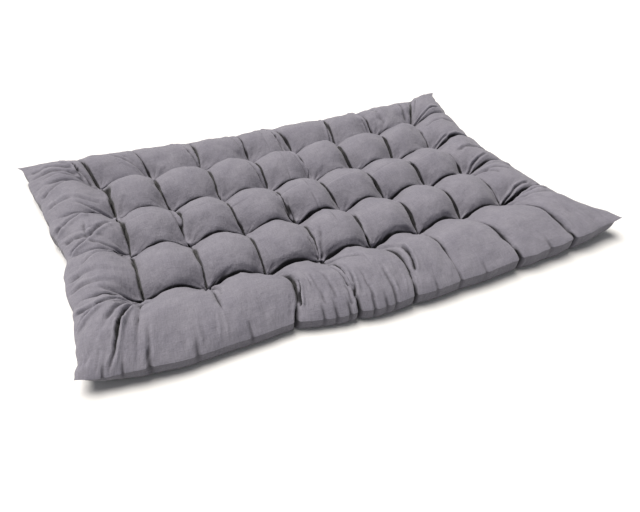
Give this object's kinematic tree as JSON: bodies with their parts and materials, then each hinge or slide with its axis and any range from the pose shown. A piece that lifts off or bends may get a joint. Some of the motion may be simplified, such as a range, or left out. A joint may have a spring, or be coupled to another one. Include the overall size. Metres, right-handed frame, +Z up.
{
  "type": "tufted garden mattress",
  "caption": "Filled grey cotton mattress to lie on outdoors, tufted into crowned pillows, with a knife-edge seam and pointed corners.",
  "frame": {"origin": "middle of the footprint, on the surface that the mattress lies on", "axes": "+X along the length, +Y across the width, +Z up out of the lying surface"},
  "size_m": [1.7594, 1.1196, 0.1154],
  "materials": {
    "cloth": "matt plain-woven cotton, grey with a slight lilac cast"
  },
  "bodies": {
    "root": {"mattress": "cloth"}
  },
  "joints": []
}
